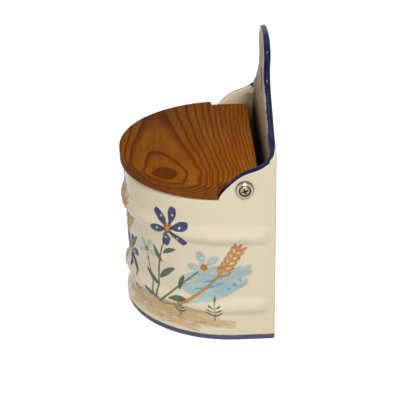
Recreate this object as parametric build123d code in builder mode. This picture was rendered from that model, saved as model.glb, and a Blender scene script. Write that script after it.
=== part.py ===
from build123d import *
import math
import os

os.makedirs("parts", exist_ok=True)

# Wall-hung salt box: a glazed D-shaped pot with a wooden lid turning on two screws.
# Millimetres: X is the width, the wall plane faces +Y, Z is up, the foot stands at Z = 0.

# Pot
pot_width = 150.0
pot_reach = 104.6
side_run = 26.0
wall = 4.6
floor_thickness = 6.0
rim_height = 113.0
inner_corner = 5.0

# Foot: an upright band, then a slope back to the wall of the pot
foot_flare = 4.1
foot_band = 6.0
foot_rise = 16.0
recess_depth = 1.2
recess_inset = 8.0

# Two soft ribs round the front and sides, fading out near the back plate
rib_centres = (29.0, 85.0)
rib_width = 20.0
rib_rise = 2.6
rib_fullness = 0.7
rib_margin = 5.5
rib_fade = 11.0
rib_sink = 0.5

# Wings: the sides rising from the rim to the plate, as heights above the rim
wing_foot = 4.0
wing_top = 28.0
wing_round = 1.6
# Points of the wing's edge: share of the way from the plate to its front, height
wing_curve = ((0.3, 22.2), (0.52, 19.5), (0.76, 13.3))

# Back plate with its crest, and the slot that it hangs by; drops are below the crest
plate_thickness = 4.6
crest_height = 205.5
crest_half = 24.5
crest_drop = 11.5
crest_run = 7.0
crest_fall = 3.0
neck_half = 21.5
neck_drop = 24.0
# Points of the plate's sweep: shares of the way in and up from its shoulder to its neck
sweep_curve = ((0.372, 0.16), (0.662, 0.465))
shoulder_rise = 6.0
shoulder_round = 5.0
edge_round = 1.4
slot_width = 8.0
slot_length = 20.0
slot_drop = 37.5

# Lid board
lid_thickness = 11.0
lid_overhang = 2.6
lid_side_overhang = 0.2
lid_seat_gap = 0.3
lid_rear_gap = 6.0
shoulder_from_wall = 38.5
wing_gap = 0.6
neck_gap = 0.8
lid_round_top = 1.4
lid_round_bottom = 1.4
lid_corner = 1.5
lid_rear_corner = 3.5

# Pivots: raised countersunk wood screws in cup washers
pivot_from_wall = 21.0
pivot_drop = 3.5
pivot_clearance = 0.08
pilot_clearance = 0.04
shank_radius = 1.75
screw_head_radius = 3.5
screw_dome = 1.1
screw_length = 20.0
screw_tip = 3.0
thread_depth = 0.45
thread_pitch = 1.6
thread_flank = 0.7
thread_root = 0.4
cross_length = 4.2
cross_width = 0.85
cross_depth = 1.7
cross_taper = 7.0
cross_turn = 20.0
washer_radius = 6.1
washer_sheet = 0.6
washer_lip_radius = 4.3
washer_throat_radius = 2.25
washer_height = 2.9
washer_bulge = 0.64
washer_inner_bulge = 0.38
washer_gap = 0.15
seat_clearance = 0.05

# Places worked out from the sizes above
half_width = pot_width / 2
foot_reach = pot_reach + foot_flare
back_y = foot_reach / 2
plate_front = back_y - plate_thickness
run_y = back_y - side_run
wing_reach = shoulder_from_wall - wing_gap
wing_height = rim_height + wing_top
shoulder_height = wing_height + shoulder_rise
neck_height = crest_height - neck_drop
lid_bottom = rim_height + lid_seat_gap
lid_radius = half_width + lid_side_overhang
lid_centre_y = back_y - pot_reach - lid_overhang + lid_radius
lid_rear_y = plate_front - lid_rear_gap
lid_shoulder_y = back_y - shoulder_from_wall
pivot_y = back_y - pivot_from_wall
pivot_z = lid_bottom + lid_thickness - pivot_drop

# The lid's half widths: at the neck, just inside the wings, and at its shoulders
wing_inner = (half_width - wall) * math.sqrt(
    1 - (max(0.0, run_y - lid_shoulder_y) / (pot_reach - wall - side_run)) ** 2
)
lid_neck = wing_inner - neck_gap
lid_shoulder = math.sqrt(lid_radius**2 - (lid_centre_y - lid_shoulder_y) ** 2)

# Places along a pivot, counted outwards from the wing's outer face
lip_height = washer_gap + washer_height
head_edge = lip_height - (washer_lip_radius - screw_head_radius) + seat_clearance * math.sqrt(2)
head_top = head_edge + screw_dome
cone_foot = head_edge - (screw_head_radius - shank_radius)
thread_start = lid_neck - half_width
screw_end = head_edge - screw_length


def pot_plan(side, reach, rear):
    """Face of the plan: straight sides from the rear line, closed by half an ellipse."""
    nose = reach - side_run
    with BuildSketch() as plan:
        with BuildLine():
            Line((side, rear), (side, run_y))
            EllipticalCenterArc((0, run_y), side, nose, start_angle=180, arc_size=180)
            Line((-side, run_y), (-side, rear))
            Line((-side, rear), (side, rear))
        make_face()
    return plan.sketch


def rib_plan(growth):
    """Face of the plan of a rib, whose sides bend into the pot at the rear margin."""
    side = half_width + growth
    nose = pot_reach + growth - side_run
    rear_x = half_width - 2 * rib_sink
    rear_y = back_y - rib_margin
    with BuildSketch() as plan:
        with BuildLine():
            front = EllipticalCenterArc((0, run_y), side, nose, start_angle=180, arc_size=180)
            right_run = Line(front @ 1, (side, rear_y - rib_fade))
            left_run = Line(front @ 0, (-side, rear_y - rib_fade))
            right = TangentArc(right_run @ 1, (rear_x, rear_y), tangent=(0, 1))
            left = TangentArc(left_run @ 1, (-rear_x, rear_y), tangent=(0, 1))
            Line(left @ 1, right @ 1)
        make_face()
    return plan.sketch


def wing_outline():
    """Face of the side view above the rim, in front of the plate and over the wings."""
    front_y = back_y - wing_reach
    span = plate_front - front_y
    clear_top = crest_height + wing_top
    clear_y = back_y - foot_reach - rib_width
    curve = [(plate_front - share * span, rim_height + rise) for share, rise in wing_curve]
    with BuildSketch() as plan:
        with BuildLine():
            Polyline(
                (front_y, rim_height + wing_foot),
                (front_y, rim_height),
                (clear_y, rim_height),
                (clear_y, clear_top),
                (plate_front, clear_top),
                (plate_front, wing_height),
            )
            Spline((plate_front, wing_height), *curve, (front_y, rim_height + wing_foot))
        make_face()
        step = plan.vertices().sort_by_distance((front_y, rim_height + wing_foot / 2))[:2]
        fillet(step, wing_round)
    return plan.sketch


# Glazed pot, plate and wings in one casting
with BuildPart() as ceramic_body:
    # Back plate: square sides, sloping shoulders, a neck and a crest
    sweep = [
        (half_width - inward * (half_width - neck_half),
         shoulder_height + upward * (neck_height - shoulder_height))
        for inward, upward in sweep_curve
    ]
    with BuildSketch(Plane.XZ.offset(-back_y)) as plate:
        with BuildLine():
            Line((0, 0), (half_width, 0))
            Line((half_width, 0), (half_width, shoulder_height))
            Spline(
                (half_width, shoulder_height),
                *sweep,
                (neck_half, neck_height),
                (crest_half, crest_height - crest_drop),
                (crest_half - crest_run, crest_height - crest_fall),
                (0, crest_height),
                tangents=((-1, 0), (-1, 0)),
            )
            mirror(about=Plane.YZ)
        make_face()
        fillet(plate.vertices().group_by(Axis.Y)[1], shoulder_round)
        with Locations((0, crest_height - slot_drop)):
            SlotOverall(slot_length, slot_width, rotation=90, mode=Mode.SUBTRACT)
    extrude(amount=plate_thickness)
    faces = ceramic_body.faces().filter_by(Axis.Y)
    rims = faces.edges().filter_by_position(Axis.Z, shoulder_height, crest_height)
    fillet(rims, edge_round)

    # Foot, walls and wings
    with BuildSketch(Plane.XY):
        add(pot_plan(half_width, foot_reach, back_y))
    extrude(amount=foot_band)
    with BuildSketch(Plane.XY.offset(foot_band)):
        add(pot_plan(half_width, foot_reach, back_y))
    with BuildSketch(Plane.XY.offset(foot_rise)):
        add(pot_plan(half_width, pot_reach, back_y))
    loft()
    with BuildSketch(Plane.XY.offset(foot_rise)):
        add(pot_plan(half_width, pot_reach, back_y))
    extrude(amount=wing_height - foot_rise)

    # Ribs, each lofted through five plans
    for rib_centre in rib_centres:
        for step in (-2, -1, 0, 1, 2):
            growth = (rib_rise, rib_fullness * rib_rise, -rib_sink)[abs(step)]
            with BuildSketch(Plane.XY.offset(rib_centre + step * rib_width / 4)):
                add(rib_plan(growth))
        loft()

    # Salt space, open at the top between the wings
    with BuildSketch(Plane.XY.offset(floor_thickness)) as cavity:
        add(pot_plan(half_width - wall, pot_reach - wall, plate_front))
        fillet(cavity.vertices().group_by(Axis.Y)[-1], inner_corner)
    extrude(amount=crest_height, mode=Mode.SUBTRACT)
    with BuildSketch(Plane.YZ.offset(-pot_width)):
        add(wing_outline())
    extrude(amount=2 * pot_width, mode=Mode.SUBTRACT)

    # Shallow recess inside the foot ring, and the pivot holes
    with BuildSketch(Plane.XY):
        add(pot_plan(half_width - recess_inset, pot_reach - recess_inset, back_y - recess_inset))
    extrude(amount=recess_depth, mode=Mode.SUBTRACT)
    with BuildSketch(Plane.YZ.offset(-pot_width)):
        with Locations((pivot_y, pivot_z)):
            Circle(shank_radius + pivot_clearance)
    extrude(amount=2 * pot_width, mode=Mode.SUBTRACT)


# Lid: a pine board, round in front, with a narrower neck between the wings
with BuildPart() as lid:
    with BuildSketch(Plane.XY.offset(lid_bottom)) as board:
        with BuildLine():
            ThreePointArc(
                (-lid_shoulder, lid_shoulder_y),
                (0, lid_centre_y - lid_radius),
                (lid_shoulder, lid_shoulder_y),
            )
            Polyline(
                (lid_shoulder, lid_shoulder_y),
                (lid_neck, lid_shoulder_y),
                (lid_neck, lid_rear_y),
                (-lid_neck, lid_rear_y),
                (-lid_neck, lid_shoulder_y),
                (-lid_shoulder, lid_shoulder_y),
            )
        make_face()
        tips = board.vertices().group_by(Axis.X)
        fillet(tips[0] + tips[-1], lid_corner)
        fillet(board.vertices().group_by(Axis.Y)[-1], lid_rear_corner)
    extrude(amount=lid_thickness)
    fillet(lid.faces().sort_by(Axis.Z)[-1].edges(), lid_round_top)
    fillet(lid.faces().sort_by(Axis.Z)[0].edges(), lid_round_bottom)
    for side in (-1, 1):
        mouth = Plane(origin=(side * lid_neck, pivot_y, pivot_z), z_dir=(side, 0, 0))
        with BuildSketch(mouth):
            Circle(shank_radius + pilot_clearance)
        extrude(amount=screw_end - thread_start - pilot_clearance, mode=Mode.SUBTRACT)


# Right pivot: in its plane x is the radius and y points out of the wing's face
pivot_plane = Plane(origin=(half_width, pivot_y, pivot_z), x_dir=(0, 0, 1), z_dir=(0, 1, 0))
pivot_axis = Axis((half_width, pivot_y, pivot_z), (1, 0, 0))
cone_depth = washer_lip_radius - washer_throat_radius
sheet_shift = washer_sheet * math.sqrt(0.5)

# Cup washer: pressed sheet, a domed flange turned down into a conical seat
with BuildPart() as cup_washer_right:
    with BuildSketch(pivot_plane):
        with BuildLine():
            flange = (washer_radius, washer_gap)
            lip = (washer_lip_radius, lip_height)
            throat = (washer_throat_radius, lip_height - cone_depth)
            under_throat = (throat[0] + sheet_shift, throat[1] - sheet_shift)
            under_lip = (washer_lip_radius, lip_height - 2 * sheet_shift)
            under_flange = (washer_radius - washer_sheet, washer_gap)
            SagittaArc(flange, lip, -washer_bulge)
            Polyline(lip, throat, under_throat, under_lip)
            SagittaArc(under_lip, under_flange, washer_inner_bulge)
            Line(under_flange, flange)
        make_face()
    revolve(axis=pivot_axis)

with BuildPart() as cup_washer_left:
    mirror(cup_washer_right.part, about=Plane.YZ)


# Pivot screw: raised countersunk head, a plain shank in the wing, a thread in the lid
thread_count = int((thread_start - screw_end - screw_tip) / thread_pitch)
thread = []
for turn in range(thread_count):
    crest = thread_start - turn * thread_pitch
    thread.append((shank_radius, crest))
    thread.append((shank_radius - thread_depth, crest - thread_flank))
    thread.append((shank_radius - thread_depth, crest - thread_flank - thread_root))

with BuildPart() as pivot_screw_right:
    with BuildSketch(pivot_plane):
        with BuildLine():
            TangentArc((0, head_top), (screw_head_radius, head_edge), tangent=(1, 0))
            Polyline(
                (screw_head_radius, head_edge),
                (shank_radius, cone_foot),
                *thread,
                (0, screw_end),
                (0, head_top),
            )
        make_face()
    revolve(axis=pivot_axis)
    with BuildSketch(Plane.YZ.offset(half_width + head_top)):
        with Locations((pivot_y, pivot_z)):
            Rectangle(cross_length, cross_width, rotation=cross_turn)
            Rectangle(cross_length, cross_width, rotation=cross_turn + 90)
    extrude(amount=-cross_depth, taper=cross_taper, mode=Mode.SUBTRACT)

with BuildPart() as pivot_screw_left:
    mirror(pivot_screw_right.part, about=Plane.YZ)


ceramic_body.part.label = "ceramic_body"
export_step(ceramic_body.part, "parts/ceramic_body.step")
lid.part.label = "lid"
export_step(lid.part, "parts/lid.step")
cup_washer_left.part.label = "cup_washer_left"
export_step(cup_washer_left.part, "parts/cup_washer_left.step")
cup_washer_right.part.label = "cup_washer_right"
export_step(cup_washer_right.part, "parts/cup_washer_right.step")
pivot_screw_left.part.label = "pivot_screw_left"
export_step(pivot_screw_left.part, "parts/pivot_screw_left.step")
pivot_screw_right.part.label = "pivot_screw_right"
export_step(pivot_screw_right.part, "parts/pivot_screw_right.step")
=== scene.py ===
import math
from functools import partial

import bmesh
import bpy
import numpy as np
from mathutils import Matrix, Vector


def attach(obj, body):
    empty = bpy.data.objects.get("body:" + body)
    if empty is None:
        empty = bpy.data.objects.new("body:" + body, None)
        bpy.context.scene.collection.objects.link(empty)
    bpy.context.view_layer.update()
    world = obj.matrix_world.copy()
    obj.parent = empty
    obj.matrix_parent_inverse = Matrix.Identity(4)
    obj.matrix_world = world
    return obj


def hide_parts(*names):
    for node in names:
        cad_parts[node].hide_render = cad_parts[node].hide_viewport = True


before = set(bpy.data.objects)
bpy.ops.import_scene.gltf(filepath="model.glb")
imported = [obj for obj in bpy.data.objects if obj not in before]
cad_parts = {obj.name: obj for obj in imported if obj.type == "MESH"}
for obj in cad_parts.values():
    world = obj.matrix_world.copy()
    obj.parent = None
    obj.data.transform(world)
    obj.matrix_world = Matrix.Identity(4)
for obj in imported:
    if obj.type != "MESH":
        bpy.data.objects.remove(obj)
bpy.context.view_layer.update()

MM = 0.001

# Camera and studio
# The pot is seen from its right side and a little above, through a long lens, on a pale
# floor under soft lamps.
view_azimuth = math.radians(87.96)
view_elevation = math.radians(28.03)
view_roll = math.radians(0.96)
camera_place = Vector((618.7, 1.6, 397.15)) * MM
lens_pixels = 932.3
frame_pixels = 416
centre_pixel = 226.2
sensor_mm = 36.0


def view_matrix(azimuth, elevation, roll, place):
    """Camera matrix: X right, Y up and Z back, turned by the azimuth, lifted and then rolled."""
    right = Vector((math.cos(azimuth), math.sin(azimuth), 0))
    back = Vector((
        math.sin(azimuth) * math.cos(elevation),
        -math.cos(azimuth) * math.cos(elevation),
        math.sin(elevation),
    ))
    up = back.cross(right)
    rolled_right = math.cos(roll) * right - math.sin(roll) * up
    rolled_up = math.sin(roll) * right + math.cos(roll) * up
    matrix = Matrix((rolled_right, rolled_up, back)).transposed().to_4x4()
    matrix.translation = place
    return matrix


camera_data = bpy.data.cameras.new("camera")
camera_data.sensor_width = sensor_mm
camera_data.lens = lens_pixels / frame_pixels * sensor_mm
camera_data.shift_x = (frame_pixels / 2 - centre_pixel) / frame_pixels
camera_data.clip_start = 0.01
camera = bpy.data.objects.new("camera", camera_data)
camera.matrix_world = view_matrix(view_azimuth, view_elevation, view_roll, camera_place)
bpy.context.scene.collection.objects.link(camera)
bpy.context.scene.camera = camera
bpy.context.scene.view_settings.view_transform = "Standard"


def new_material(name):
    """A material with nodes: returns it, its node tree and its Principled shader."""
    material = bpy.data.materials.new(name)
    material.use_nodes = True
    tree = material.node_tree
    return material, tree, tree.nodes["Principled BSDF"]


def node(tree, kind, inputs=None, **settings):
    """A node with its settings; inputs maps socket names or numbers to values or to links."""
    made = tree.nodes.new(kind)
    for key, value in settings.items():
        setattr(made, key, value)
    for key, value in (inputs or {}).items():
        socket = made.inputs[key]
        if isinstance(value, bpy.types.NodeSocket):
            tree.links.new(value, socket)
        else:
            socket.default_value = value
    return made


def math_node(tree, operation, *values):
    """Output of a Math node."""
    return node(tree, "ShaderNodeMath", dict(enumerate(values)), operation=operation).outputs[0]


def map_range(tree, value, start, end, low=0.0, high=1.0, curve="LINEAR"):
    """Output of a Map Range node: start to end is carried to low to high, and held at both."""
    return node(tree, "ShaderNodeMapRange", {
        "Value": value, "From Min": start, "From Max": end, "To Min": low, "To Max": high,
    }, interpolation_type=curve).outputs[0]


def background_rays(tree):
    """1 on the rays that show the background: from the camera, off a gloss or through glass."""
    path = node(tree, "ShaderNodeLightPath").outputs
    direct = math_node(tree, "MAXIMUM", path["Is Camera Ray"], path["Is Glossy Ray"])
    return math_node(tree, "MAXIMUM", direct, path["Is Transmission Ray"])


def mesh_object(name, points, faces):
    """A smooth-shaded object at the origin from points in millimetres and faces."""
    mesh = bpy.data.meshes.new(name)
    mesh.from_pydata((points * MM).tolist(), [], faces.tolist())
    mesh.polygons.foreach_set("use_smooth", np.ones(len(mesh.polygons), bool))
    made = bpy.data.objects.new(name, mesh)
    bpy.context.scene.collection.objects.link(made)
    return made


floor_radius = 6000.0
floor_glow = 0.72
room_light = 0.15


def floor_disc(rings=5, columns=48):
    """Flat disc: rings of points whose radius grows evenly from the centre."""
    turn = np.linspace(0, 2 * np.pi, columns, endpoint=False)
    radius = np.linspace(floor_radius / rings, floor_radius, rings)[:, None]
    flat = np.stack([radius * np.cos(turn), radius * np.sin(turn), np.zeros((rings, columns))], -1)
    index = np.arange(rings * columns).reshape(rings, columns)
    after = np.roll(index, -1, axis=1)
    faces = np.stack([index[:-1], index[1:], after[1:], after[:-1]], -1).reshape(-1, 4).tolist()
    faces.append(index[0].tolist())
    return flat.reshape(-1, 3), np.array(faces, dtype=object)


floor_material, tree, shader = new_material("pale_floor")
shader.inputs["Base Color"].default_value = (0.70, 0.695, 0.68, 1)
shader.inputs["Roughness"].default_value = 0.75
shader.inputs["Emission Color"].default_value = (1, 1, 1, 1)
glow = math_node(tree, "MULTIPLY", background_rays(tree), floor_glow)
tree.links.new(glow, shader.inputs["Emission Strength"])
floor = mesh_object("floor", *floor_disc())
floor.data.materials.append(floor_material)


def soft_lamp(name, place, aim_height, size, power):
    """A square area lamp at a place in metres, facing a height on the pot's middle line."""
    data = bpy.data.lights.new(name, "AREA")
    data.size = size
    data.energy = power
    lamp = bpy.data.objects.new(name, data)
    lamp.location = place
    facing = Vector((0, 0, aim_height)) - Vector(place)
    lamp.rotation_euler = facing.to_track_quat("-Z", "Y").to_euler()
    bpy.context.scene.collection.objects.link(lamp)


soft_lamp("key_lamp", (1.05, 0.10, 1.05), 0.09, 0.34, 12.3)
soft_lamp("window_lamp", (1.25, 0.1, 0.38), 0.09, 0.35, 1.2)
soft_lamp("fill_lamp", (0.2, -1.3, 0.45), 0.08, 0.8, 1.7)
soft_lamp("top_lamp", (-0.1, 0.0, 1.35), 0.1, 0.6, 2.6)
soft_lamp("rear_lamp", (-0.7, 1.1, 0.7), 0.1, 0.8, 1.2)
world = bpy.data.worlds.new("studio")
world.use_nodes = True
sky = world.node_tree.nodes["Background"]
sky.inputs["Color"].default_value = (1.0, 1.0, 1.0, 1)
strength = map_range(world.node_tree, background_rays(world.node_tree), 0.0, 1.0, room_light, 1.0)
world.node_tree.links.new(strength, sky.inputs["Strength"])
bpy.context.scene.world = world


# Glazed pot
# Slip-cast earthenware in one piece: pot, wings and crested plate, with moulded ribs and a
# raised folk design, painted under a thick cream glaze that softens every edge.
wall_y = 54.33
half_width = 75.0
side_run = 26.0
pot_reach = 104.6
foot_flare = 4.05
foot_band = 6.0
foot_rise = 16.0
wall = 4.6
plate_thickness = 4.6
floor_thickness = 6.0
rim_height = 113.0
rib_heights = (29.0, 85.0)
rib_rise = 3.1
rib_half = 8.2
rib_fade = 9.0
rib_end = wall_y - 2.0
edge_round = wall / 2
corner_round = 1.8
slot_round = 1.2
slot_half = 4.0
slot_span = 6.0
slot_height = 168.0
recess_depth = 1.2
foot_edge = 1.0
floor_round = 4.0
shoulder_height = 146.0
shoulder_reach = 7.0
shoulder_extra = 0.9
run_y = wall_y - side_run
plate_front = wall_y - plate_thickness
nose = pot_reach - side_run
# Wing edge and plate outline, as the places that each curve goes through
wing_knots = np.array([
    (44.0, rim_height), (39.7, rim_height), (38.3, 114.2), (37.6, 116.8), (36.2, 119.4), (32.7, 123.4),
    (29.0, 127.2), (25.0, 130.5), (20.5, 133.1), (15.6, 134.8), (10.7, 136.7), (7.4, 138.8),
    (4.6, 141.0), (0.0, 144.8),
])
plate_knots = np.array([
    (75.0, 138.7), (75.0, 140.8), (74.7, 143.0), (73.2, 145.8), (69.2, 147.4), (63.5, 148.8),
    (56.3, 151.8), (49.7, 155.9), (43.4, 160.4), (36.8, 164.7), (30.2, 168.9), (24.6, 173.6),
    (21.9, 177.7), (21.4, 181.0), (22.2, 184.8), (23.7, 188.4), (24.5, 192.2), (23.7, 195.9),
    (21.3, 199.0), (18.4, 201.6), (14.8, 203.8), (9.8, 205.1), (4.8, 205.42), (0.0, 205.45),
])


def through(knots, steps):
    """Curve through knots: on each span a cubic whose end slopes follow the knots on either side."""
    padded = np.vstack([2 * knots[0] - knots[1], knots, 2 * knots[-1] - knots[-2]])
    before, start, end, after = (padded[i:len(padded) - 3 + i][:, None, :] for i in range(4))
    t = np.linspace(0, 1, steps, endpoint=False)[None, :, None]
    curve = start + 0.5 * t * (end - before + t * (
        2 * before - 5 * start + 4 * end - after + t * (3 * (start - end) + after - before)))
    return np.vstack([curve.reshape(-1, knots.shape[1]), knots[-1]])


def smooth_step(low, high, value):
    """0 below low, 1 above high, and 3t^2 - 2t^3 between."""
    t = np.clip((value - low) / (high - low), 0, 1)
    return t * t * (3 - 2 * t)


def resample(curve, places):
    """Points of a dense curve at the given shares of its length, 0 to 1."""
    steps = np.linalg.norm(np.diff(curve, axis=0), axis=1)
    along = np.concatenate([[0], np.cumsum(steps)]) / steps.sum()
    return np.stack([np.interp(places, along, part) for part in curve.T], -1)


# Columns of the curved wall: from the right wing's rear, round the front, to the left one's. They
# stand closer where a wing's edge falls steeply, and wider apart on the plate's sides
column_count = 381
steep_place = 33.0
steep_width = 0.008
steep_extra = 1.4
rear_saving = 0.5
sweep = np.linspace(0, np.pi, 4001)
plan_curve = np.vstack([
    np.stack([np.full(400, half_width), np.linspace(plate_front, run_y, 400, endpoint=False)], -1),
    np.stack([half_width * np.cos(sweep), run_y - nose * np.sin(sweep)], -1),
    np.stack([np.full(400, -half_width), np.linspace(run_y, plate_front, 401)[1:]], -1),
])
plan_length = np.linalg.norm(np.diff(plan_curve, axis=0), axis=1).sum()
wing_place = 0.5 - 0.5 * np.array([1, -1]) * (1 - 2 * steep_place / plan_length)
share = np.linspace(0, 1, 6001)
fineness = 1 + steep_extra * np.exp(-((share[:, None] - wing_place) / steep_width) ** 2).sum(1)
fineness -= rear_saving * (np.abs(share - 0.5) > 0.46)
column_share = np.interp(np.linspace(0, 1, column_count), np.cumsum(fineness) / fineness.sum(), share)
column_share[[0, -1]] = 0, 1
plan = resample(plan_curve, column_share)
around = (0.5 - column_share) * plan_length
slope_x = np.sqrt(np.clip(1 - (np.maximum(run_y - plan[:, 1], 0) / nose) ** 2, 0, 1))
outward = np.stack([
    np.sign(plan[:, 0]) * slope_x / half_width,
    -np.maximum(run_y - plan[:, 1], 0) / nose**2,
], -1)
outward /= np.linalg.norm(outward, axis=1)[:, None]
wing_curve = through(wing_knots, 40)
from_wall = wall_y - plan[:, 1]
top = np.interp(from_wall, wing_curve[::-1, 0], wing_curve[::-1, 1])
wing_end = np.interp(plate_thickness, wing_curve[::-1, 0], wing_curve[::-1, 1])
plate_foot = wing_end - edge_round
half_columns = 31
back_columns = np.concatenate([np.linspace(-1, 0, half_columns), np.linspace(0, 1, half_columns)])


def corner_profile(front_round):
    """Plate edge from its front face to its back face, as inset and y: two quarter rounds, with one
    front radius for each row."""
    turn = np.linspace(0, np.pi / 2, 5)
    front = front_round[:, None]
    inset = np.concatenate([
        front * (1 - np.sin(turn)),
        np.zeros((len(front), 2)),
        np.tile(corner_round * (1 - np.cos(turn)), (len(front), 1)),
    ], 1)
    front_y = plate_front + front * (1 - np.cos(turn))
    back_y = np.tile(wall_y - corner_round * (1 - np.sin(turn)), (len(front), 1))
    middle = front_y[:, -1:] + (back_y[:, :1] - front_y[:, -1:]) * np.array([1 / 3, 2 / 3])
    return inset, np.concatenate([front_y, middle, back_y], 1)


def rib_swell(height, depth):
    """How far the two ribs stand out of the wall: each is (1 - t^2)^2 of the height from its middle,
    and both fade towards the back of the pot."""
    swell = sum(np.clip(1 - ((height - middle) / rib_half) ** 2, 0, 1) ** 2 for middle in rib_heights)
    return rib_rise * swell * smooth_step(0, rib_fade, rib_end - depth)


def outer_wall(rows):
    """Closed loop of columns round the pot, over shares of the height from foot to edge.
    The foot flares forward and two ribs swell outward, both fading towards the wall."""
    level = rows[:, None]
    lift = foot_edge + (top[None, :] - edge_round - foot_edge) * level
    flare = foot_flare * (1 - smooth_step(foot_band, foot_rise, lift))
    forward = np.maximum(run_y - plan[:, 1], 0) / nose
    swell = rib_swell(lift, plan[:, 1])
    x = plan[:, 0] + outward[:, 0] * swell
    y = plan[:, 1] + outward[:, 1] * swell - flare * forward
    curved = np.stack([x, y, lift], -1)
    inset, depth = corner_profile(np.zeros(len(rows)))
    rise = np.broadcast_to(foot_edge + (plate_foot - foot_edge) * level, depth.shape)
    left = np.stack([-half_width + inset - rib_swell(rise, depth), depth, rise], -1)
    right = left[:, ::-1] * np.array([-1, 1, 1])
    flat_x = back_columns * (half_width - corner_round)
    back = np.stack([
        np.tile(flat_x, (len(rows), 1)),
        np.full((len(rows), len(flat_x)), wall_y),
        np.broadcast_to(rise[:, :1], (len(rows), len(flat_x))),
    ], -1)
    return np.concatenate([curved, left, back, right], 1)


def edge_strip(turns):
    """Half round over the top of the rim and wings, from the outer face to the inner one."""
    turn = turns[:, None]
    drop = edge_round * (1 - np.cos(turn))
    x = plan[:, 0] - outward[:, 0] * drop
    y = plan[:, 1] - outward[:, 1] * drop
    z = top[None, :] - edge_round + edge_round * np.sin(turn)
    return np.stack([x, y, z], -1)


def scaled_rows(loop, shares, heights, centre):
    """Rows that draw a loop in towards its centre: the share of its size, and the height, of each."""
    shares = np.asarray(shares)[:, None]
    flat = centre + (loop[None, :, :2] - centre) * shares[..., None]
    rise = np.broadcast_to(np.asarray(heights)[:, None, None], flat.shape[:2] + (1,))
    return np.concatenate([flat, rise], -1)


# Plate above the wings: rows along its outline, with extra ones at the slot's round ends
outline = through(plate_knots, 60)
tangent = np.gradient(outline, axis=0)
tangent /= np.linalg.norm(tangent, axis=1)[:, None]
outline_out = np.stack([tangent[:, 1], -tangent[:, 0]], -1)
outline_out[0], outline_out[-1] = (1, 0), (0, 1)
from_shoulder = (outline[:, 1] - shoulder_height) / shoulder_reach
shoulder_round = corner_round + shoulder_extra * np.clip(1 - from_shoulder**2, 0, 1) ** 2
front_round = shoulder_round * smooth_step(plate_foot, wing_end + 1.5, outline[:, 1])
inner_height = outline[:, 1] - outline_out[:, 1] * corner_round
order = np.linspace(0, 1, len(outline))
cap = (slot_half + slot_round) * np.sin(np.linspace(0, np.pi / 2, 6))
slot_rows = np.concatenate([
    slot_height - slot_span - cap[::-1],
    np.linspace(slot_height - slot_span, slot_height + slot_span, 9)[1:-1],
    slot_height + slot_span + cap,
])
lengths = np.concatenate([[0], np.cumsum(np.linalg.norm(np.diff(outline, axis=0), axis=1))])
even = np.interp(np.linspace(0, lengths[-1], 90), lengths, order)
even_height = np.interp(even, order, inner_height)
even = even[(even_height < slot_rows[0] - 0.6) | (even_height > slot_rows[-1] + 0.6)]
even = even[(even == 0) | (np.interp(even, order, outline[:, 1]) > wing_end + 0.8)]
rows_t = np.sort(np.concatenate([even, np.interp(slot_rows, inner_height, order)]))


def edge_at(places):
    """Outline points, outward directions and front radii at places along the outline's order."""
    values = np.column_stack([outline, outline_out, front_round])
    found = np.stack([np.interp(places, order, part) for part in values.T], -1)
    return found[:, :2], found[:, 2:4], found[:, 4]


def plate_edge(places):
    """Edge of the plate along its right outline: each corner profile is set in from the outline."""
    point, away, radius = edge_at(places)
    inset, depth = corner_profile(radius)
    return np.stack([
        point[:, :1] - away[:, :1] * inset,
        depth,
        point[:, 1:] - away[:, 1:] * inset,
    ], -1)


def slot_gap(height, radius):
    """Half width of the slot, a straight run between two half circles, at a height."""
    beyond = np.maximum(np.abs(height - slot_height) - slot_span, 0)
    return np.sqrt(np.maximum(radius**2 - beyond**2, 0)) * (beyond <= radius)


def plate_face(places, columns, radius, y, side):
    """Face of the plate, ruled between its left and right outlines and parted by the slot."""
    point, away, _ = edge_at(places)
    reach = (point[:, 0] - away[:, 0] * radius)[:, None]
    height = (point[:, 1] - away[:, 1] * radius)[:, None]
    gap = slot_gap(height, slot_half + slot_round)
    x = side * (gap + (reach - gap) * np.abs(columns)[None, :])
    return np.stack([x, np.full_like(x, y), np.broadcast_to(height, x.shape)], -1)


def slot_wall(heights):
    """Inside of the slot's right half: the rows of the faces carried through the plate's thickness."""
    turn = np.linspace(0, np.pi / 2, 4)
    radius = slot_half + slot_round * np.concatenate([1 - np.sin(turn), [0], (1 - np.sin(turn))[::-1]])
    depth = np.concatenate([
        plate_front + slot_round * (1 - np.cos(turn)),
        [wall_y - plate_thickness / 2],
        (wall_y - slot_round * (1 - np.cos(turn)))[::-1],
    ])
    beyond = heights - slot_height
    past = np.maximum(np.abs(beyond) - slot_span, 0) / (slot_half + slot_round)
    sine = np.minimum(past, 1)[:, None]
    x = np.sqrt(1 - sine**2) * radius
    z = np.where(
        np.abs(beyond)[:, None] > slot_span,
        slot_height + np.sign(beyond)[:, None] * (slot_span + sine * radius),
        heights[:, None],
    )
    return np.stack([x, np.broadcast_to(depth, x.shape), z], -1)


# Painted and moulded design, in the wall's own coordinates: around from the front, and up
levels = np.linspace(0, 1, 158)
outer = outer_wall(levels)
wall_columns = len(plan)
across = np.broadcast_to(around, (len(levels), wall_columns))
upward = outer[:, :wall_columns, 2]
paints = ("sky", "azure", "earth", "ochre", "rust", "green", "cobalt", "white", "brown")
unpainted = -9.0
fields = {name: np.full(across.shape, unpainted) for name in paints}


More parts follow.
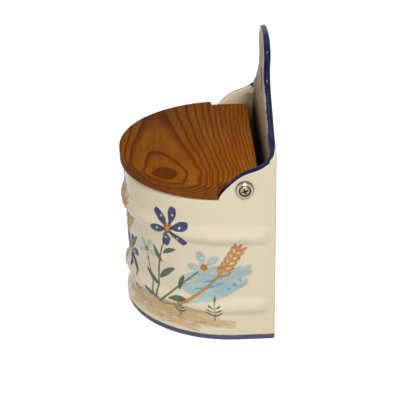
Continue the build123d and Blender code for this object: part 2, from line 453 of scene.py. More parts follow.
def brush(name, start, bend, end, widths, steps=8):
    """Lays one brush mark: discs along a line bowed towards bend, their widths running through the
    three given. The field holds the depth inside the marks in mm, and is negative outside."""
    t = np.linspace(0, 1, steps + 1)[:, None]
    weights = np.hstack([(1 - t) ** 2, 2 * t * (1 - t), t**2])
    line = weights @ np.array([start, bend, end], float)
    radius = weights @ np.array(widths, float) / 2
    margin = max(widths) + 3.0
    near = (around > line[:, 0].min() - margin) & (around < line[:, 0].max() + margin)
    a, z = across[:, near], upward[:, near]
    depth = np.full(a.shape, unpainted)
    for (a0, z0), (a1, z1), r0, r1 in zip(line[:-1], line[1:], radius[:-1], radius[1:]):
        along = np.array([a1 - a0, z1 - z0])
        length = max(along @ along, 1e-6)
        h = np.clip(((a - a0) * along[0] + (z - z0) * along[1]) / length, 0, 1)
        away = np.hypot(a - a0 - h * along[0], z - z0 - h * along[1])
        depth = np.maximum(depth, r0 + (r1 - r0) * h - away)
    fields[name][:, near] = np.maximum(fields[name][:, near], depth)


def dot(name, place, size):
    """A round touch of the brush."""
    brush(name, place, place, (place[0] + 0.2, place[1] + 0.3), (size, size, size), 1)


def turned(place, length, angle):
    """The point at a length and an angle, in degrees from straight up, from a place."""
    angle = math.radians(angle)
    return place[0] + length * math.sin(angle), place[1] + length * math.cos(angle)


def wash(name, start, bend, end, width, seed, hairs=7):
    """A broad stroke as a bundle of narrow ones side by side, each starting and stopping by chance."""
    chance = np.random.default_rng(seed)
    start, bend, end = (np.array(point, float) for point in (start, bend, end))
    along = (end - start) / np.linalg.norm(end - start)
    aside = np.array([-along[1], along[0]])
    for hair in range(hairs):
        shift = aside * width * ((hair + 0.5) / hairs - 0.5)
        early, late = chance.uniform(-0.6, 0.5, 2) * width
        thick = 2.2 * width / hairs * chance.uniform(0.75, 1.2)
        brush(name, start + shift + along * early, bend + shift, end + shift + along * late,
              (0.6 * thick, thick, 0.45 * thick), 10)


def leaf(base, length, angle, width, curl=12.0):
    """A green leaf in one mark, with a darker vein."""
    middle = turned(base, 0.5 * length, angle - curl)
    tip = turned(base, length, angle)
    brush("green", base, middle, tip, (0.6, 2 * width, 0.2))
    vein = turned(base, 0.4 * length, angle - curl)
    brush("brown", base, vein, turned(base, 0.75 * length, angle), (0.5, 0.4, 0.1))


def flower(colour, centre, size, petals, turn):
    """Petals of two uneven marks about an ochre heart, each with a white touch."""
    chance = np.random.default_rng(int(10 * size) + petals)
    for petal in range(petals):
        angle = turn + 360.0 * petal / petals + chance.uniform(-6, 6)
        reach = size * chance.uniform(0.9, 1.08)
        for lean, width in ((-5, 0.40), (6, 0.36)):
            heel = turned(centre, 0.2 * reach, angle)
            belly = turned(centre, 0.66 * reach, angle + 1.5 * lean)
            point = turned(centre, reach * chance.uniform(0.90, 0.96), angle + 0.6 * lean)
            brush(colour, heel, belly, point, (0.10 * size, width * size, 0.24 * size))
        dot("white", turned(centre, 0.62 * reach, angle + 4), 0.10 * size)
    dot("ochre", centre, 0.46 * size)
    for seed in range(5):
        dot("rust", turned(centre, 0.13 * size, turn + 72.0 * seed), 0.1 * size)


def wheat(foot, bend, tip, grains=6, stem=2.1):
    """A straw with an ear of paired grains at its end, each with a rust tip, and a few awns."""
    brush("ochre", foot, bend, tip, (1.1 * stem, stem, 0.7 * stem), 12)
    lean = math.degrees(math.atan2(tip[0] - bend[0], tip[1] - bend[1]))
    for grain in range(grains):
        place = turned(tip, -4.6 * grain, lean)
        for side in (-1, 1):
            end = turned(place, 7.0, lean + side * 38)
            brush("ochre", place, turned(place, 4.0, lean + side * 56), end, (0.9, 4.0, 1.1))
            dot("rust", end, 1.1)
    for side in (-1, 0, 1):
        brush("brown", turned(tip, 6, lean + 22 * side), turned(tip, 10, lean + 20 * side),
              turned(tip, 14, lean + 13 * side), (0.5, 0.4, 0.1))
    brush("ochre", tip, turned(tip, 3.5, lean), turned(tip, 8, lean), (1.2, 3.8, 0.8))


def sprig(base, height):
    """A low sprig: a bowed stem with pairs of small leaves and one leaf at its tip."""
    brush("green", base, turned(base, 0.5 * height, 5), turned(base, height, 0), (0.9, 0.8, 0.5))
    for step in range(3):
        place = turned(base, (0.2 + 0.25 * step) * height, 0)
        for side in (-1, 1):
            tip = turned(place, (0.50 - 0.09 * step) * height, side * 52)
            brush("green", place, turned(place, 0.28 * height, side * 66), tip, (0.4, 2.3, 0.3))
    place = turned(base, 0.85 * height, 0)
    tip = turned(place, 0.45 * height, 0)
    brush("green", place, turned(place, 0.25 * height, 6), tip, (0.4, 2.3, 0.3))


def tie(knot):
    """The sheaf's tie of twisted straw, with a flower and two leaves on either side of it."""
    for lift in (-2.2, 0.0, 2.2):
        left, right = ((knot[0] + end, knot[1] + lift + 1.2) for end in (-7, 7))
        brush("rust", left, (knot[0], knot[1] + lift - 1.6), right, (1.0, 1.4, 1.0))
    for side in (-1, 1):
        centre = (knot[0] + side * 22, knot[1] - 4)
        for angle in (38, 142):
            leaf(centre, 21, side * angle, 4.4, 12 * side)
        flower("cobalt", centre, 13.5, 6, 15 * side)


def spray(side, first, second, place=60.0):
    """Three flowers on bowed stems beside the sheaf, with leaves and one ear of wheat."""
    at = lambda a, z: (side * (place + a), z)
    for bend, tip in ((at(-3, 60), at(10, 80)), (at(16, 40), at(33, 56)), (at(-9, 38), at(-11, 55))):
        brush("green", at(0, 22), bend, tip, (1.7, 1.3, 1.0), 12)
    flower(first, at(12, 87), 15.5, 6, 12 * side)
    flower(second, at(37, 60), 12.0, 5, -20 * side)
    flower(second, at(-12, 61), 9.0, 5, 30)
    wheat(at(2, 22), at(34, 28), at(60, 74), 6, 2.2)
    for a, z, length, angle, width in (
        (0, 36, 17, -52, 4.2), (1, 42, 19, 48, 4.6), (4, 56, 15, -34, 3.8), (18, 38, 14, 18, 3.4),
        (5, 64, 13, 62, 3.4), (10, 30, 16, 84, 3.8), (-1, 28, 13, -78, 3.4),
    ):
        leaf(at(a, z), length, side * angle, width, 14 * side)


wash("sky", (-112, 92), (-86, 108), (-48, 98), 17.0, 3)
wash("sky", (86, 38), (104, 41), (124, 55), 15.0, 4)
wash("sky", (88, 47), (98, 55), (112, 58), 9.0, 9, 5)
for a, z, size in ((118, 47, 2.6), (122, 51, 2.0), (114, 44, 1.8), (-54, 94, 2.4), (-60, 92, 1.8)):
    dot("azure", (a, z), size)
for start, bend, end in (
    ((90, 42), (100, 43), (111, 49)), ((96, 48), (106, 50), (117, 58)),
    ((-98, 98), (-84, 104), (-68, 101)), ((-104, 92), (-88, 99), (-70, 96)),
):
    brush("azure", start, bend, end, (0.8, 2.0, 0.6))
for start, bend, end, width, seed in (
    ((-116, 19), (-70, 24), (-22, 17), 11, 11), ((-92, 11), (-52, 13), (-18, 10), 5, 12),
    ((-30, 20), (0, 25), (34, 19), 12, 13), ((14, 18), (66, 24), (104, 18), 12, 14),
    ((30, 10), (62, 13), (92, 9), 5, 15), ((74, 14), (98, 17), (117, 13), 6, 16),
):
    wash("earth", start, bend, end, width, seed, 6)
for angle, height in ((-40, 30), (-27, 38), (-13, 43), (0, 46), (13, 43), (27, 38), (40, 30)):
    knot = (0.1 * angle, 52)
    wheat(turned(knot, -27, 0.62 * angle), knot, turned(knot, height, angle))
tie((0, 52))
spray(1, "cobalt", "sky")
spray(-1, "sky", "cobalt", 62.0)
for a, height in ((-106, 14), (-86, 11), (-33, 11), (-6, 10), (30, 12), (78, 13), (104, 16)):
    sprig((a, 15 + 0.02 * a), height)
for a in (-96, -70, -40, 18, 44, 76, 96):
    brush("brown", (a - 9, 13), (a, 15.5), (a + 10, 12.6), (0.5, 0.7, 0.2))

# The raised parts stand about a millimetre proud in front and fade towards the sides. The glaze is
# a little uneven, but not at its edges, where the next patch joins
relief_rise = 1.0
side_relief = 0.25
unevenness = 0.12
edge_calm, top_calm = 14.0, 12.0
raised = np.maximum.reduce([fields["cobalt"], fields["ochre"], fields["green"] - 0.4])
frontness = 1 - smooth_step(34, 60, np.abs(across))
relief = relief_rise * smooth_step(-0.9, 1.6, raised) * (side_relief + (1 - side_relief) * frontness)
waves = np.sin(across / 17 + 1.3) * np.sin(upward / 23) + np.sin(across / 41 - upward / 31)
calm = (
    smooth_step(0, edge_calm, upward)
    * smooth_step(0, top_calm, top - edge_round - upward)
    * smooth_step(0, edge_calm, plate_front - plan[:, 1])
)
outer[:, :wall_columns, :2] += outward * (relief + unevenness * waves * calm)[..., None]

# Trim: cobalt on the wings' and the plate's edges, and a thinner blue round the foot
trim_outside = 0.1
trim_end = 38.6
trim_end_slope = 1.5
stripe_height = 4.7
stripe_rear = 0.3
crest_blue_low, crest_blue_high = 172, 184
corner_blue_depths, corner_blue_heights = (1.0, 3.0, 6.0), (147.3, 142.4, 139.3)
corner_blue_top = 150
edge_blue_depth = 3.0
pool_place, pool_size = (73.5, 141.5), 4.2
field_names = paints + ("inside", "deep", "trim", "stripe", "bare")
far_outside = {"inside": -30.0, "deep": -30.0}


def patch_fields(shape, **values):
    """All the fields of a patch, each outside its paint unless given."""
    given = (values.get(name, far_outside.get(name, unpainted)) for name in field_names)
    return np.stack([np.broadcast_to(value, shape) for value in given], -1)


def blue_edge(from_edge, distance):
    """Depth in the wing's trim, from the height under its edge; it stops at the wing's front."""
    return np.minimum(from_edge, (trim_end - distance) * trim_end_slope)


patches = []


def add_patch(points, closed=False, **values):
    """Keeps one grid of points with its fields; a closed one joins its last column to its first."""
    grid = np.concatenate([points, patch_fields(points.shape[:2], **values)], -1)
    patches.append(np.concatenate([grid, grid[:, :1]], 1) if closed else grid)


# Outside of the pot, from the foot to the wings' edges
whole = {name: np.full(outer.shape[:2], unpainted) for name in paints + ("trim",)}
for name in paints:
    whole[name][:, :wall_columns] = fields[name]
whole["trim"][:, :wall_columns] = blue_edge(trim_outside - (top - upward), from_wall)
behind = outer[..., 1] > wall_y - stripe_rear
whole["stripe"] = np.where(behind, unpainted, stripe_height - outer[..., 2])
add_patch(outer, True, **whole)

# Underneath: a bare ring to stand on and a shallow recess. Each row is a share of the foot's size,
# a height, and how deep the bare clay and the blue stripe are there
middle = np.array([0.0, 8.0])
under_rows = np.array([
    (1, foot_edge, -2, 3.7), (0.9935, 0.3, -0.5, 3.7), (0.984, 0, 1, -1),
    (0.875, 0, 1, unpainted), (0.868, recess_depth, 1, unpainted),
    (0.5, recess_depth, 1, unpainted), (0, recess_depth, 1, unpainted),
])
under = scaled_rows(outer[0], under_rows[:, 0], under_rows[:, 1], middle)
under[0] = outer[0]
add_patch(under, True, bare=under_rows[:, 2:3], stripe=under_rows[:, 3:])

# Rounded edge of the rim and wings: the blue comes farther over it on the right, and by the plate
blue_right, blue_left, blue_by_plate = 5.0, 4.2, 5.0
turns = np.linspace(0, np.pi, 9)
over = np.where(plan[:, 0] > 0, blue_right, blue_left)
over = over + blue_by_plate * (1 - smooth_step(2.5, 9.0, from_wall)) - edge_round * turns[:, None]
add_patch(edge_strip(turns), trim=np.minimum(over, blue_edge(2.5, from_wall)))

# Inside: walls, plate front and floor. The glaze is painted browner towards the plate and downwards, as
# painted shade, and nearly black low in the gap behind the lid, as a painted shadow
floor_reach = 58.0
gap_dark_plate, gap_dark_wings = 131.0, 118.0
shade_by_plate, shade_per_mm = 15, 0.8
face_shade_per_mm = 0.45
inside_plan = plan - wall * outward
inside_x = back_columns * (half_width - wall)
inside_rear = np.broadcast_to((plate_front, plate_foot), (len(inside_x), 2))
mouth = np.vstack([
    np.column_stack([inside_plan, top - edge_round]),
    np.column_stack([inside_x, inside_rear]),
])
fall = np.linspace(0, 1, 13)[:, None]
floor_top = floor_thickness + floor_round
inside = np.empty((len(fall), len(mouth), 3))
inside[..., :2] = mouth[:, :2]
inside[..., 2] = mouth[:, 2] + (floor_top - mouth[:, 2]) * fall**1.5
turn = np.linspace(0, np.pi / 2, 6)[1:]
floor_rows = scaled_rows(
    inside[-1], np.concatenate([1 - floor_round * (1 - np.cos(turn)) / floor_reach, [0.6, 0.3, 0]]),
    np.concatenate([floor_thickness + floor_round * (1 - np.sin(turn)), [floor_thickness] * 3]), middle)
grid = np.concatenate([inside, floor_rows])
near_plate = 1 - smooth_step(0, 14, plate_front - mouth[:, 1])
gap_shadow_top = np.where(near_plate > 0.98, gap_dark_plate, gap_dark_wings)
painted_inside_shade = shade_by_plate * near_plate + unpainted + shade_per_mm * (mouth[:, 2] - grid[..., 2])
add_patch(grid, True, inside=painted_inside_shade, deep=np.minimum(gap_shadow_top - grid[..., 2], 40 * near_plate - 20))

# Plate above the wings: both edges, then each face in two halves that part at the slot
edge = plate_edge(rows_t)
crest_blue = 4.0 * smooth_step(crest_blue_low, crest_blue_high, edge[..., 2])
edge_trim = np.minimum(edge[..., 1] - plate_front - 0.2 + crest_blue, edge_blue_depth)
low = edge[..., 2] - np.interp(wall_y - edge[..., 1], corner_blue_depths, corner_blue_heights)
edge_trim = np.where(edge[..., 2] < corner_blue_top, np.minimum(low, edge_blue_depth), edge_trim)
add_patch(edge, trim=edge_trim)
add_patch(edge * np.array([-1, 1, 1]), trim=edge_trim)


def outline_depth(points):
    """Distance from points of a plate face to the plate's outline."""
    flat = np.abs(points[..., [0]]), points[..., [2]]
    return np.hypot(flat[0] - outline[::6, 0], flat[1] - outline[::6, 1]).min(-1)


def face_trim(points):
    """The blue comes over onto the crest's face, and pools where the wing meets the plate."""
    width = 5.6 * smooth_step(crest_blue_low, crest_blue_high, points[..., 2]) - 2.2
    pool = pool_size - np.hypot(np.abs(points[..., 0]) - pool_place[0], points[..., 2] - pool_place[1])
    return np.maximum(width - outline_depth(points), pool)


strip_x = half_width - edge_round * (1 - np.cos(turns))
strip_z = plate_foot + edge_round * np.sin(turns)
half_x = np.concatenate([strip_x[:-1], inside_x[::-1][:half_columns]])
half_z = np.concatenate([strip_z[:-1], np.full(half_columns, plate_foot)])
radius = edge_at(rows_t)[2]
for side in (1, -1):
    face = plate_face(rows_t, half_x / half_width, radius, plate_front, side)
    face[0, :, 0], face[0, :, 2] = side * half_x, half_z
    # The face is painted browner downwards from the crest as painted shade, and nearly black low down
    # as a painted shadow
    painted_inside_shade = np.maximum(face_shade_per_mm * (crest_blue_low - face[..., 2]) + unpainted, -6)
    add_patch(face, trim=face_trim(face), inside=painted_inside_shade, deep=gap_dark_plate - face[..., 2])
    rear_round = np.full(len(rows_t), corner_round)
    rear = plate_face(rows_t, back_columns[:half_columns], rear_round, wall_y, side)
    add_patch(rear, trim=0.6 - (outline_depth(rear) - corner_round))
    # The slot's inner wall is painted dark brown all over
    add_patch(slot_wall(slot_rows) * np.array([side, 1, 1]), brown=1.5)


# Points that round to the same half micron are one point
weld_steps = 2000


def closed_mesh(grids):
    """Points, fields and triangles of all the patches, with the points that they share made one."""
    found, triangles, count = [], [], 0
    for grid in grids:
        rows, columns = grid.shape[:2]
        index = np.arange(rows * columns).reshape(rows, columns) + count
        corners = index[:-1, :-1], index[:-1, 1:], index[1:, 1:], index[1:, :-1]
        a, b, c, d = (corner.ravel() for corner in corners)
        triangles += [np.stack([a, b, c], -1), np.stack([a, c, d], -1)]
        found.append(grid.reshape(rows * columns, -1))
        count += rows * columns
    found, triangles = np.concatenate(found), np.concatenate(triangles)
    key = np.round(found[:, :3] * weld_steps).astype(np.int64)
    _, first, same = np.unique(key, axis=0, return_index=True, return_inverse=True)
    triangles = same.ravel()[triangles]
    whole = (np.diff(np.sort(triangles, axis=1), axis=1) > 0).all(1)
    return found[first, :3], found[first, 3:], triangles[whole]


points, painted, triangles = closed_mesh(patches)


def relaxed(points, triangles, weight, rounds):
    """Each point moves by its weight towards the mean of its neighbours, some rounds over."""
    ends = np.concatenate([triangles[:, [0, 1]], triangles[:, [1, 2]], triangles[:, [2, 0]]])
    ends = np.concatenate([ends, ends[:, ::-1]])
    count = np.bincount(ends[:, 0], minlength=len(points))[:, None]
    for _ in range(rounds):
        sums = [np.bincount(ends[:, 0], part, len(points)) for part in points[ends[:, 1]].T]
        points = points + weight[:, None] * (np.stack(sums, -1) / count - points)
    return points


# Glaze fills the corners where the wings run into the plate
corner_away = np.hypot(np.abs(points[:, 0]) - (half_width - wall), points[:, 1] - plate_front)
softness = 0.5 * (1 - smooth_step(1.5, 4.2, corner_away)) * (points[:, 2] > floor_top)
points = relaxed(points, triangles, softness, 12)

pot = mesh_object("pot_glazed", points, triangles)
outward_mesh = bmesh.new()
outward_mesh.from_mesh(pot.data)
bmesh.ops.recalc_face_normals(outward_mesh, faces=outward_mesh.faces)
outward_mesh.to_mesh(pot.data)
outward_mesh.free()
for name, values in zip(field_names, painted.T):
    attribute = pot.data.attributes.new(name, "FLOAT", "POINT")
    attribute.data.foreach_set("value", np.ascontiguousarray(values, np.float32))

glaze_light = (0.80, 0.705, 0.53, 1)
glaze_dark = (0.77, 0.67, 0.49, 1)
glaze_roughness = 0.11
inside_roughness = 0.7
bisque_roughness = 0.85
glaze_specular = 0.09
brush_stretch = (0.4, 0.4, 1.3)


def node_group(name, inputs, outputs):
    """An empty node group with named sockets; returns it with its input sockets and output node."""
    group = bpy.data.node_groups.new(name, "ShaderNodeTree")
    for direction, sockets in (("INPUT", inputs), ("OUTPUT", outputs)):
        for socket, kind in sockets:
            group.interface.new_socket(name=socket, in_out=direction, socket_type="NodeSocket" + kind)
    return group, group.nodes.new("NodeGroupInput").outputs, group.nodes.new("NodeGroupOutput")


def arithmetic(tree):
    """The sum, difference and product of two values or links in a node tree, as three functions."""
    return [partial(math_node, tree, operation) for operation in ("ADD", "SUBTRACT", "MULTIPLY")]


def noise(tree, place, scale, detail, roughness=0.5):
    """Output of a Noise Texture node."""
    return node(tree, "ShaderNodeTexNoise", {
        "Vector": place, "Scale": scale, "Detail": detail, "Roughness": roughness}).outputs[0]


def mixed(tree, share, first, second):
    """One colour turning into another by a share."""
    return node(tree, "ShaderNodeMix", {0: share, 6: first, 7: second}, data_type="RGBA").outputs[2]


def stretched(tree, vector, factors):
    """A place or a colour multiplied part by part."""
    return node(tree, "ShaderNodeVectorMath", {0: vector, 1: factors}, operation="MULTIPLY").outputs[0]


def paint_group():
    """Underglaze paint, and the painted shade inside the pot, laid over a colour: the field's edge
    wavers, and the pigment thins and pools.
    """
    group, given, result = node_group(
        "underglaze_paint_and_painted_shade",
        [("Base", "Color"), ("Paint", "Color"), ("Pooled", "Color"), ("Field", "Float"),
         ("Edge", "Float"), ("Waver", "Float"), ("Cover", "Float"), ("Place", "Vector")],
        [("Color", "Color"), ("Mask", "Float")],
    )
    add, less, times = arithmetic(group)
    drawn = stretched(group, given["Place"], brush_stretch)
    field = add(given["Field"], times(less(noise(group, drawn, 330.0, 3.0), 0.5), given["Waver"]))
    mask = map_range(group, field, times(given["Edge"], -1.0), given["Edge"], curve="SMOOTHSTEP")
    pool = times(map_range(group, field, 0.9, 0.0), 0.55)
    thick = add(pool, times(less(noise(group, drawn, 150.0, 4.0, 0.65), 0.42), 2.2))
    tone = mixed(group, thick, given["Paint"], given["Pooled"])
    laid = mixed(group, times(mask, given["Cover"]), given["Base"], tone)
    group.links.new(laid, result.inputs["Color"])
    group.links.new(mask, result.inputs["Mask"])
    return group


paint = paint_group()
glaze, tree, shader = new_material("painted_glaze")
place = node(tree, "ShaderNodeTexCoord").outputs["Object"]
colour = mixed(tree, map_range(tree, noise(tree, place, 22.0, 4.0), 0.3, 0.7), glaze_dark, glaze_light)
# Each paint, from the lowest up: its thin and its pooled colour, how soft its edge is and how far it
# wavers in mm, and how well it covers
paint_layers = (
    # The first two are painted shade: a brown shade inside the pot and on the plate's face, and a
    # near-black painted shadow low in the gap behind the lid
    ("inside", (0.32, 0.215, 0.11, 1), (0.14, 0.085, 0.038, 1), 12.0, 6.0, 0.88),
    ("deep", (0.05, 0.03, 0.015, 1), (0.012, 0.008, 0.004, 1), 12.0, 4.0, 0.95),
    ("sky", (0.40, 0.56, 0.55, 1), (0.12, 0.28, 0.36, 1), 1.3, 2.6, 0.88),
    ("azure", (0.10, 0.42, 0.66, 1), (0.03, 0.22, 0.50, 1), 0.5, 0.8, 0.85),
    ("earth", (0.60, 0.41, 0.17, 1), (0.40, 0.20, 0.04, 1), 1.3, 4.4, 0.80),
    ("green", (0.065, 0.145, 0.065, 1), (0.02, 0.07, 0.032, 1), 0.30, 0.5, 0.93),
    ("brown", (0.20, 0.09, 0.05, 1), (0.10, 0.04, 0.02, 1), 0.22, 0.3, 0.85),
    ("ochre", (0.58, 0.29, 0.048, 1), (0.42, 0.16, 0.02, 1), 0.32, 0.6, 0.92),
    ("rust", (0.34, 0.07, 0.02, 1), (0.24, 0.04, 0.01, 1), 0.30, 0.3, 0.9),
    ("cobalt", (0.032, 0.052, 0.155, 1), (0.006, 0.010, 0.062, 1), 0.30, 0.6, 0.95),
    ("white", (0.80, 0.78, 0.70, 1), (0.70, 0.70, 0.70, 1), 0.30, 0.5, 0.9),
    ("stripe", (0.070, 0.095, 0.18, 1), (0.028, 0.042, 0.095, 1), 0.35, 0.9, 0.97),
    ("trim", (0.011, 0.017, 0.062, 1), (0.001, 0.003, 0.034, 1), 0.40, 1.6, 1.0),
    ("bare", (0.60, 0.42, 0.27, 1), (0.52, 0.34, 0.2, 1), 0.5, 0.6, 1.0),
)
masks = {}
for name, thin, pooled, softness, waver, cover in paint_layers:
    layer = node(tree, "ShaderNodeGroup", {
        "Base": colour, "Paint": thin, "Pooled": pooled,
        "Field": node(tree, "ShaderNodeAttribute", attribute_name=name).outputs["Fac"],
        "Edge": softness, "Waver": waver, "Cover": cover, "Place": place,
    }, node_tree=paint)
    colour = layer.outputs["Color"]
    masks[name] = layer.outputs["Mask"]
tree.links.new(colour, shader.inputs["Base Color"])
# The inside is matt except on the trim, and the foot's bare ring is rough
bare = map_range(tree, masks["bare"], 0.0, 1.0, glaze_roughness, bisque_roughness)
matt = map_range(tree, masks["inside"], 0.0, 0.12, glaze_roughness, inside_roughness)
matt = math_node(tree, "MULTIPLY", matt, map_range(tree, masks["trim"], 0.0, 1.0, 1.0, 0.0))
rough = math_node(tree, "MAXIMUM", math_node(tree, "MAXIMUM", bare, matt), glaze_roughness)
tree.links.new(rough, shader.inputs["Roughness"])
ripple = noise(tree, place, 60.0, 2.0)
bump = node(tree, "ShaderNodeBump", {"Height": ripple, "Strength": 0.12, "Distance": 0.002})
tree.links.new(bump.outputs[0], shader.inputs["Normal"])
shader.inputs["Specular IOR Level"].default_value = glaze_specular
pot.data.materials.append(glaze)
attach(pot, "pot")
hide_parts("ceramic_body")


# Lid
# One board of resinous pine, cut so that the growth rings rise to its top in an oval, rounded
# over at its edges and varnished, with dark late wood against the golden early wood.
pith_side = -24.0
pith_lean = 0.085
# The square of the pith's height over the board, and what comes off it at the oval and at its eye
pith_square = 700.0
heart_place = 54.0
heart_reach, heart_drop = 66.0, 520.0
eye_reach, eye_drop = 8.5, 80.0
lid_top = 124.3
end_slant = 2.2
ring_middle = 26.0
ring_waver = 3.5
early_dark = (0.232, 0.066, 0.0030, 1)
early_light = (0.318, 0.104, 0.0048, 1)
late_colour = (0.118, 0.021, 0.0018, 1)
sawn_and_shade_tint = (0.68, 0.72, 2.9)
pit_colour = (0.55, 0.42, 0.28, 1)
varnish_specular = 0.006
varnish_tint = (1.0, 0.62, 0.34, 1)


def ring_group():
    """Late wood of a board's growth rings: a ring number passes a whole at each winter, and is the
    distance from a bent pith line above the board, counted so that the rings narrow outwards."""
    group, given, result = node_group(
        "growth_rings", [("Place", "Vector"), ("Waver", "Float")], [("Late Wood", "Float")])
    add, less, times = arithmetic(group)
    mark = partial(math_node, group)

    def bell(value, centre, width):
        """1 at the centre, falling off as a bell curve of the width."""
        steps = mark("DIVIDE", less(value, centre), width)
        return mark("EXPONENT", times(mark("POWER", steps, 2.0), -1.0))

    slow = noise(group, given["Place"], 0.028, 2.0)
    fast = noise(group, given["Place"], 0.16, 3.0)
    x, y, z = node(group, "ShaderNodeSeparateXYZ", {0: given["Place"]}).outputs
    wander = add(times(less(slow, 0.5), given["Waver"]), times(less(fast, 0.5), 1.1))
    side = add(less(less(y, pith_side), times(x, pith_lean)), wander)
    side = add(side, times(times(bell(x, 12.0, 22.0), bell(side, 0.0, 14.0)), 5.0))
    lift = less(pith_square, times(bell(x, heart_place, heart_reach), heart_drop))
    lift = mark("SQRT", less(lift, times(bell(x, heart_place, eye_reach), eye_drop)))
    height = add(lift, times(less(lid_top, z), end_slant))
    away = mark("SQRT", add(times(side, side), times(height, height)))
    spread = add(1.0, times(less(x, 19.0), 0.0024))
    away = add(ring_middle, times(less(away, ring_middle), spread))
    ring = add(times(away, 0.035), add(0.03, times(times(away, away), 0.00304)))
    ring = add(ring, times(bell(away, 18.0, 4.0), 0.30))
    ring = less(ring, times(bell(away, 27.0, 2.2), 0.25))
    share = mark("FRACT", ring)
    onset = map_range(group, ring, 2.0, 5.0, 0.56, 0.48)
    dark = map_range(group, share, onset, 0.90, curve="SMOOTHSTEP")
    fade = map_range(group, share, 1.0, 0.93, curve="SMOOTHSTEP")
    heart = map_range(group, ring, 0.99, 0.93)
    group.links.new(mark("MAXIMUM", times(dark, fade), heart), result.inputs["Late Wood"])
    return group


def place_in_mm(tree):
    """Object coordinates in millimetres."""
    return stretched(tree, node(tree, "ShaderNodeTexCoord").outputs["Object"], (1000, 1000, 1000))


def grain_noise(factors, detail, roughness=0.5):
    """Noise on the board, drawn out along the grain, which runs in x."""
    drawn = node(tree, "ShaderNodeMapping", {0: place, 3: factors}).outputs[0]
    return noise(tree, drawn, 1.0, detail, roughness)


def scaled(colour, factor):
    """A colour of the board times a number."""
    return node(tree, "ShaderNodeVectorMath", {0: colour, 3: factor}, operation="SCALE").outputs[0]


pine, tree, shader = new_material("varnished_pine")
add, _, times = arithmetic(tree)
place = place_in_mm(tree)
late = node(tree, "ShaderNodeGroup", {
    "Place": place, "Waver": ring_waver}, node_tree=ring_group()).outputs["Late Wood"]
fibres = grain_noise((0.05, 1.9, 1.9), 5.0, 0.7)
cloud = grain_noise((0.012, 0.05, 0.05), 3.0)
coarse = grain_noise((0.03, 0.6, 0.6), 3.0)
early = mixed(tree, map_range(tree, cloud, 0.3, 0.7), early_dark, early_light)
lateness = times(late, map_range(tree, fibres, 0.3, 0.62, 0.62, 1.0))
wood = mixed(tree, lateness, early, late_colour)
streak = map_range(tree, fibres, 0.35, 0.65, 0.84, 1.12)
wood = scaled(wood, add(streak, map_range(tree, coarse, 0.3, 0.7, -0.16, 0.16)))
# Painted light and shade: the board is painted lighter along its grain towards +x, and towards its rear
forward = node(tree, "ShaderNodeVectorMath", {0: place, 1: (1.0, 0.4, 0.0)}, operation="DOT_PRODUCT")
along = map_range(tree, forward.outputs["Value"], -65.0, 55.0, 0.80, 1.14)
depth = node(tree, "ShaderNodeSeparateXYZ", {0: place}).outputs[1]
wood = scaled(wood, times(along, map_range(tree, depth, -5.0, 30.0, 1.0, 1.2)))
# Its edges are painted darker and duller: sawn wood's colour and painted shade. A few pits hold pale
# filler
normal = node(tree, "ShaderNodeTexCoord").outputs["Normal"]
facing_up = node(tree, "ShaderNodeSeparateXYZ", {0: normal}).outputs[2]
edge_face = map_range(tree, math_node(tree, "ABSOLUTE", facing_up), 0.75, 0.45)
wood = mixed(tree, edge_face, wood, stretched(tree, wood, sawn_and_shade_tint))
pits = node(tree, "ShaderNodeTexVoronoi", {"Vector": place, "Scale": 0.055}).outputs["Distance"]
wood = mixed(tree, times(map_range(tree, pits, 0.03, 0.018), 0.6), wood, pit_colour)
tree.links.new(wood, shader.inputs["Base Color"])
pores = add(times(late, 0.5), fibres)
bump = node(tree, "ShaderNodeBump", {"Height": pores, "Strength": 0.18, "Distance": 0.0006})
tree.links.new(bump.outputs[0], shader.inputs["Normal"])
tree.links.new(map_range(tree, fibres, 0.3, 0.7, 0.3, 0.42), shader.inputs["Roughness"])
shader.inputs["Specular IOR Level"].default_value = varnish_specular
shader.inputs["Specular Tint"].default_value = varnish_tint
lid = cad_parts["lid"]
lid.data.materials.clear()
lid.data.materials.append(pine)


# Cup washers and screws
# Turned sheet washers, nickel plated and polished, under zinc-plated screw heads.
pivot_place = (0.0, 33.35, 120.8)
cross_turn = math.radians(20.0)
cross_half_width = 0.62
cross_reach = 2.2
ramp_reach = 10.0


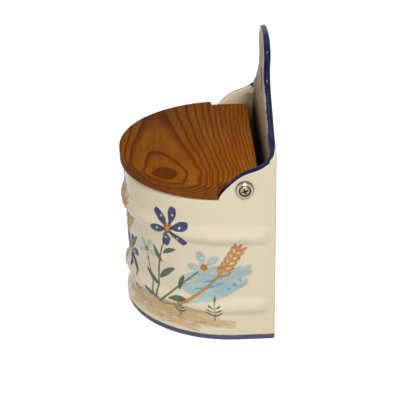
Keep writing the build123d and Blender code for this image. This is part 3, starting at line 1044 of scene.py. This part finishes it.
def pivot_group():
    """Distance of a point from the pivots' axis, and depth inside the cross of a screw, in mm: the
    cross is the nearer of two bars, turned about the axis."""
    group, given, result = node_group(
        "about_the_pivot", [("Place", "Vector")], [("Radius", "Float"), ("Cross", "Float")])
    add, less, times = arithmetic(group)
    mark = partial(math_node, group)
    centred = node(group, "ShaderNodeMapping", {
        0: given["Place"], 1: tuple(-value for value in pivot_place)}).outputs[0]
    y, z = node(group, "ShaderNodeSeparateXYZ", {0: centred}).outputs[1:]
    cosine, sine = math.cos(cross_turn), math.sin(cross_turn)
    across_bar = mark("ABSOLUTE", add(times(y, cosine), times(z, sine)))
    along_bar = mark("ABSOLUTE", less(times(z, cosine), times(y, sine)))
    radius = mark("SQRT", add(times(y, y), times(z, z)))
    group.links.new(radius, result.inputs["Radius"])
    inside = less(cross_half_width, mark("MINIMUM", across_bar, along_bar))
    group.links.new(inside, result.inputs["Cross"])
    return group


pivot_shade = pivot_group()


def metal(name, bright, dull, stops, roughness, cross):
    """Plated metal: rings about the pivot painted darker and lighter as painted shade, painted
    highlights and dark painted reflections; scratches; and in a screw, painted shade in its cross. The
    stops are radii in mm with how bright the metal is there."""
    material, tree, shader = new_material(name)
    _, less, times = arithmetic(tree)
    place = place_in_mm(tree)
    about = node(tree, "ShaderNodeGroup", {"Place": place}, node_tree=pivot_shade).outputs
    ring = node(tree, "ShaderNodeValToRGB", {0: math_node(tree, "DIVIDE", about["Radius"], ramp_reach)})
    ramp = ring.color_ramp
    while len(ramp.elements) < len(stops):
        ramp.elements.new(0.5)
    for element, (radius, value) in zip(ramp.elements, stops):
        element.position = radius / ramp_reach
        element.color = (value, value, value, 1)
    wear = noise(tree, place, 1.1, 4.0, 0.7)
    level = times(ring.outputs[0], map_range(tree, wear, 0.3, 0.7, 0.75, 1.1))
    if cross:
        cut = math_node(tree, "MINIMUM", about["Cross"], less(cross_reach, about["Radius"]))
        level = times(level, map_range(tree, cut, -0.15, 0.3, 1.0, 0.06))
    tree.links.new(mixed(tree, level, dull, bright), shader.inputs["Base Color"])
    rough = map_range(tree, wear, 0.3, 0.7, roughness, 1.8 * roughness)
    tree.links.new(rough, shader.inputs["Roughness"])
    shader.inputs["Metallic"].default_value = 1
    return material


# The washer's rings: painted shade under the screw's edge, a painted highlight round the cup and a
# painted dark rim
washer_finish = metal(
    "polished_nickel", (0.62, 0.58, 0.52, 1), (0.035, 0.03, 0.02, 1),
    ((2.2, 0.0), (3.6, 0.02), (4.1, 0.18), (4.5, 0.95), (5.2, 0.7), (5.8, 0.35), (6.1, 0.05)),
    0.12, False)
# The screw's head: painted shade in the ring at its rim and in its cross
screw_finish = metal(
    "zinc_plate", (0.34, 0.335, 0.19, 1), (0.03, 0.03, 0.012, 1),
    ((0.0, 0.8), (2.4, 0.95), (3.0, 0.8), (3.35, 0.2), (3.5, 0.0)), 0.3, True)
for side in ("left", "right"):
    for piece, finish in (("cup_washer_", washer_finish), ("pivot_screw_", screw_finish)):
        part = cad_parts[piece + side]
        part.data.materials.clear()
        part.data.materials.append(finish)
